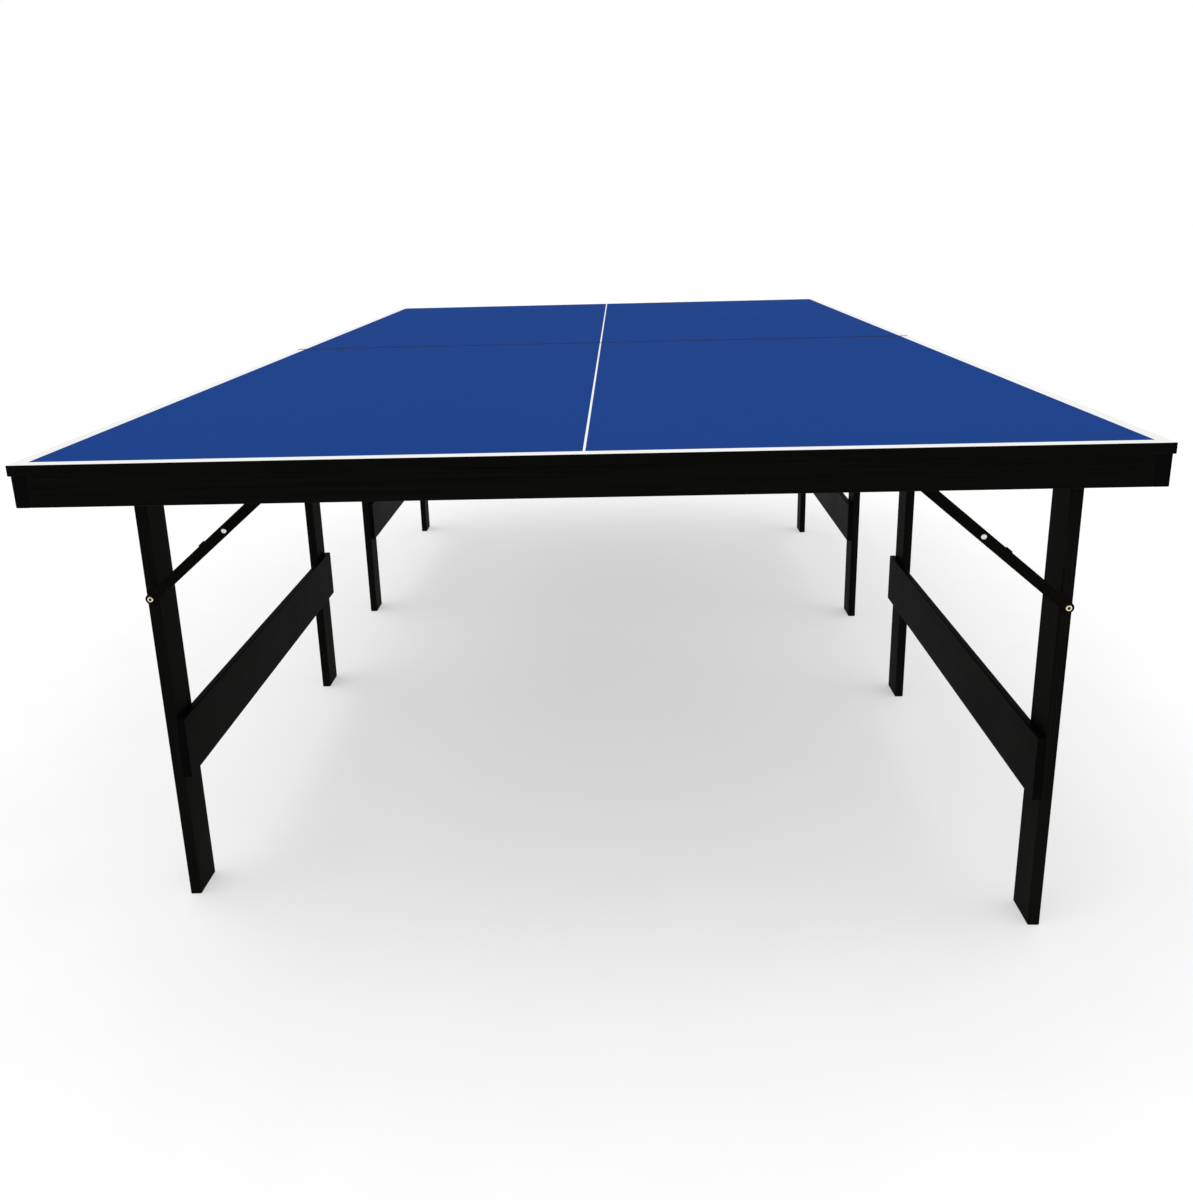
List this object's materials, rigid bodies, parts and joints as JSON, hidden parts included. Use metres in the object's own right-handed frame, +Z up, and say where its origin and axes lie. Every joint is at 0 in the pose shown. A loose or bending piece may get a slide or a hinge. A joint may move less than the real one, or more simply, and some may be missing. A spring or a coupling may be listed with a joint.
{
  "type": "table tennis table",
  "caption": "Table tennis table in two free-standing halves, with a flat painted top on a shallow apron and wooden leg frames that fold inwards on hinges and lock with jointed steel braces.",
  "frame": {"origin": "centre of the whole table's footprint, on the floor", "axes": "+X across the table to the right, +Y along its length towards the back half, +Z up"},
  "size_m": [1.525, 2.74, 0.76],
  "materials": {
    "blue_panel": "matt blue paint with white lines",
    "black_wood": "satin black paint",
    "black_steel": "semi-gloss black",
    "screw_steel": "black phosphate",
    "brass_zinc": "yellow passivated",
    "zinc": "bright zinc plate"
  },
  "bodies": {
    "front_half": {"front_top_panel": "blue_panel", "front_end_rail": "black_wood", "front_net_rail": "black_wood", "front_left_side_rail": "black_wood", "front_right_side_rail": "black_wood", "front_hinge_fixed_leaves": "black_steel", "front_hinge_pins": "zinc", "front_brace_brackets": "black_steel", "front_brace_bracket_rivets": "zinc", "front_panel_screws": "screw_steel"},
    "front_left_leg_frame": {"front_left_leg_1": "black_wood", "front_left_leg_2": "black_wood", "front_left_stretcher": "black_wood", "front_left_hinge_rail": "black_wood", "front_left_frame_screws": "screw_steel", "front_left_hinge_moving_leaves": "black_steel", "front_left_brace_leg_screws": "brass_zinc"},
    "front_left_lower_bars": {"front_left_lower_braces": "black_steel"},
    "front_left_upper_bars": {"front_left_upper_braces": "black_steel", "front_left_brace_joint_rivets": "zinc"},
    "front_right_leg_frame": {"front_right_leg_1": "black_wood", "front_right_leg_2": "black_wood", "front_right_stretcher": "black_wood", "front_right_hinge_rail": "black_wood", "front_right_frame_screws": "screw_steel", "front_right_hinge_moving_leaves": "black_steel", "front_right_brace_leg_screws": "brass_zinc"},
    "front_right_lower_bars": {"front_right_lower_braces": "black_steel"},
    "front_right_upper_bars": {"front_right_upper_braces": "black_steel", "front_right_brace_joint_rivets": "zinc"},
    "back_half": {"back_top_panel": "blue_panel", "back_end_rail": "black_wood", "back_net_rail": "black_wood", "back_left_side_rail": "black_wood", "back_right_side_rail": "black_wood", "back_hinge_fixed_leaves": "black_steel", "back_hinge_pins": "zinc", "back_brace_brackets": "black_steel", "back_brace_bracket_rivets": "zinc", "back_panel_screws": "screw_steel"},
    "back_left_leg_frame": {"back_left_leg_1": "black_wood", "back_left_leg_2": "black_wood", "back_left_stretcher": "black_wood", "back_left_hinge_rail": "black_wood", "back_left_frame_screws": "screw_steel", "back_left_hinge_moving_leaves": "black_steel", "back_left_brace_leg_screws": "brass_zinc"},
    "back_left_lower_bars": {"back_left_lower_braces": "black_steel"},
    "back_left_upper_bars": {"back_left_upper_braces": "black_steel", "back_left_brace_joint_rivets": "zinc"},
    "back_right_leg_frame": {"back_right_leg_1": "black_wood", "back_right_leg_2": "black_wood", "back_right_stretcher": "black_wood", "back_right_hinge_rail": "black_wood", "back_right_frame_screws": "screw_steel", "back_right_hinge_moving_leaves": "black_steel", "back_right_brace_leg_screws": "brass_zinc"},
    "back_right_lower_bars": {"back_right_lower_braces": "black_steel"},
    "back_right_upper_bars": {"back_right_upper_braces": "black_steel", "back_right_brace_joint_rivets": "zinc"}
  },
  "joints": [
    {"name": "halves_slide_apart", "type": "slide", "parent": "front_half", "child": "back_half", "axis": [0, 1, 0], "range_m": [0, 0.3]},
    {"name": "front_left_fold", "type": "hinge", "parent": "front_half", "child": "front_left_leg_frame", "pos_m": [-0.6421, -0.753, 0.7411], "axis": [0, -1, 0], "range_deg": [0, 90]},
    {"name": "front_left_lower_bar_pivot", "type": "hinge", "parent": "front_left_leg_frame", "child": "front_left_lower_bars", "pos_m": [-0.6695, -0.753, 0.516], "axis": [0, -1, 0], "range_deg": [0, 46.99]},
    {"name": "front_left_upper_bar_pivot", "type": "hinge", "parent": "front_half", "child": "front_left_upper_bars", "pos_m": [-0.417, -0.753, 0.7297], "axis": [0, 1, 0], "range_deg": [0, 37.47]},
    {"name": "front_right_fold", "type": "hinge", "parent": "front_half", "child": "front_right_leg_frame", "pos_m": [0.6421, -0.856, 0.7411], "axis": [0, 1, 0], "range_deg": [0, 90]},
    {"name": "front_right_lower_bar_pivot", "type": "hinge", "parent": "front_right_leg_frame", "child": "front_right_lower_bars", "pos_m": [0.6695, -0.856, 0.516], "axis": [0, 1, 0], "range_deg": [0, 46.99]},
    {"name": "front_right_upper_bar_pivot", "type": "hinge", "parent": "front_half", "child": "front_right_upper_bars", "pos_m": [0.417, -0.856, 0.7297], "axis": [0, -1, 0], "range_deg": [0, 37.47]},
    {"name": "back_left_fold", "type": "hinge", "parent": "back_half", "child": "back_left_leg_frame", "pos_m": [-0.6421, 0.617, 0.7411], "axis": [0, -1, 0], "range_deg": [0, 90]},
    {"name": "back_left_lower_bar_pivot", "type": "hinge", "parent": "back_left_leg_frame", "child": "back_left_lower_bars", "pos_m": [-0.6695, 0.617, 0.516], "axis": [0, -1, 0], "range_deg": [0, 46.99]},
    {"name": "back_left_upper_bar_pivot", "type": "hinge", "parent": "back_half", "child": "back_left_upper_bars", "pos_m": [-0.417, 0.617, 0.7297], "axis": [0, 1, 0], "range_deg": [0, 37.47]},
    {"name": "back_right_fold", "type": "hinge", "parent": "back_half", "child": "back_right_leg_frame", "pos_m": [0.6421, 0.514, 0.7411], "axis": [0, 1, 0], "range_deg": [0, 90]},
    {"name": "back_right_lower_bar_pivot", "type": "hinge", "parent": "back_right_leg_frame", "child": "back_right_lower_bars", "pos_m": [0.6695, 0.514, 0.516], "axis": [0, 1, 0], "range_deg": [0, 46.99]},
    {"name": "back_right_upper_bar_pivot", "type": "hinge", "parent": "back_half", "child": "back_right_upper_bars", "pos_m": [0.417, 0.514, 0.7297], "axis": [0, -1, 0], "range_deg": [0, 37.47]}
  ],
  "couplings": [
    {"joint": "front_left_lower_bar_pivot", "follows": "front_left_fold", "ratio": 0.52206},
    {"joint": "front_left_upper_bar_pivot", "follows": "front_left_fold", "ratio": 0.41633},
    {"joint": "front_right_lower_bar_pivot", "follows": "front_right_fold", "ratio": 0.52206},
    {"joint": "front_right_upper_bar_pivot", "follows": "front_right_fold", "ratio": 0.41633},
    {"joint": "back_left_lower_bar_pivot", "follows": "back_left_fold", "ratio": 0.52206},
    {"joint": "back_left_upper_bar_pivot", "follows": "back_left_fold", "ratio": 0.41633},
    {"joint": "back_right_lower_bar_pivot", "follows": "back_right_fold", "ratio": 0.52206},
    {"joint": "back_right_upper_bar_pivot", "follows": "back_right_fold", "ratio": 0.41633}
  ]
}
